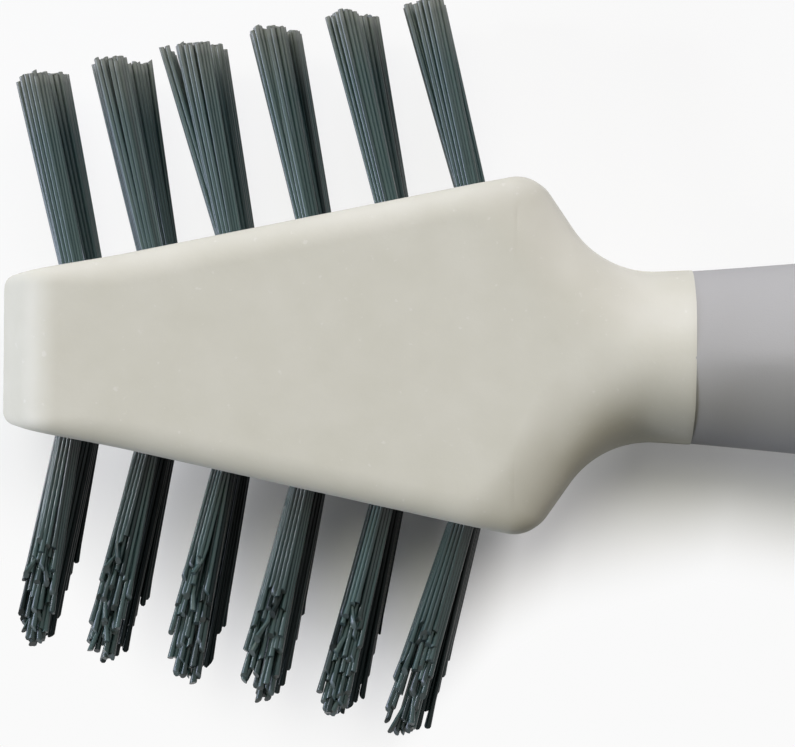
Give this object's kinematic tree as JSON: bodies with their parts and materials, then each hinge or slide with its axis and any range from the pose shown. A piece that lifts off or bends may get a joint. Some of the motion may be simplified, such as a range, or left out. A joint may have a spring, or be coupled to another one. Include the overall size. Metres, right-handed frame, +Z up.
{
  "type": "grout brush",
  "caption": "Hand brush with a flat tapered head, stiff bristle tufts along both sloping sides, one trimmed flat and one to a V, on a rounded handle with a hanging hole.",
  "frame": {"origin": "on the flat back face of the head, on the brush's centre line, in the middle of that face", "axes": "+X along the handle towards its end, +Y out of the flat-trimmed bristles, +Z up out of the head's front face"},
  "size_m": [0.1973, 0.0605, 0.014],
  "materials": {
    "ivory_plastic": "satin moulded plastic",
    "grey_plastic": "satin soft-touch plastic",
    "bristle": "satin nylon filament",
    "anchor_wire": "drawn flat wire"
  },
  "bodies": {
    "root": {"brush_head": "ivory_plastic", "handle": "grey_plastic", "upper_front_tufts": "bristle", "upper_front_anchor_1": "anchor_wire", "upper_front_anchor_2": "anchor_wire", "upper_front_anchor_3": "anchor_wire", "upper_front_anchor_4": "anchor_wire", "upper_front_anchor_5": "anchor_wire", "upper_front_anchor_6": "anchor_wire", "upper_rear_tufts": "bristle", "upper_rear_anchor_1": "anchor_wire", "upper_rear_anchor_2": "anchor_wire", "upper_rear_anchor_3": "anchor_wire", "upper_rear_anchor_4": "anchor_wire", "upper_rear_anchor_5": "anchor_wire", "upper_rear_anchor_6": "anchor_wire", "lower_front_tufts": "bristle", "lower_front_anchor_1": "anchor_wire", "lower_front_anchor_2": "anchor_wire", "lower_front_anchor_3": "anchor_wire", "lower_front_anchor_4": "anchor_wire", "lower_front_anchor_5": "anchor_wire", "lower_front_anchor_6": "anchor_wire", "lower_rear_tufts": "bristle", "lower_rear_anchor_1": "anchor_wire", "lower_rear_anchor_2": "anchor_wire", "lower_rear_anchor_3": "anchor_wire", "lower_rear_anchor_4": "anchor_wire", "lower_rear_anchor_5": "anchor_wire", "lower_rear_anchor_6": "anchor_wire"}
  },
  "joints": []
}
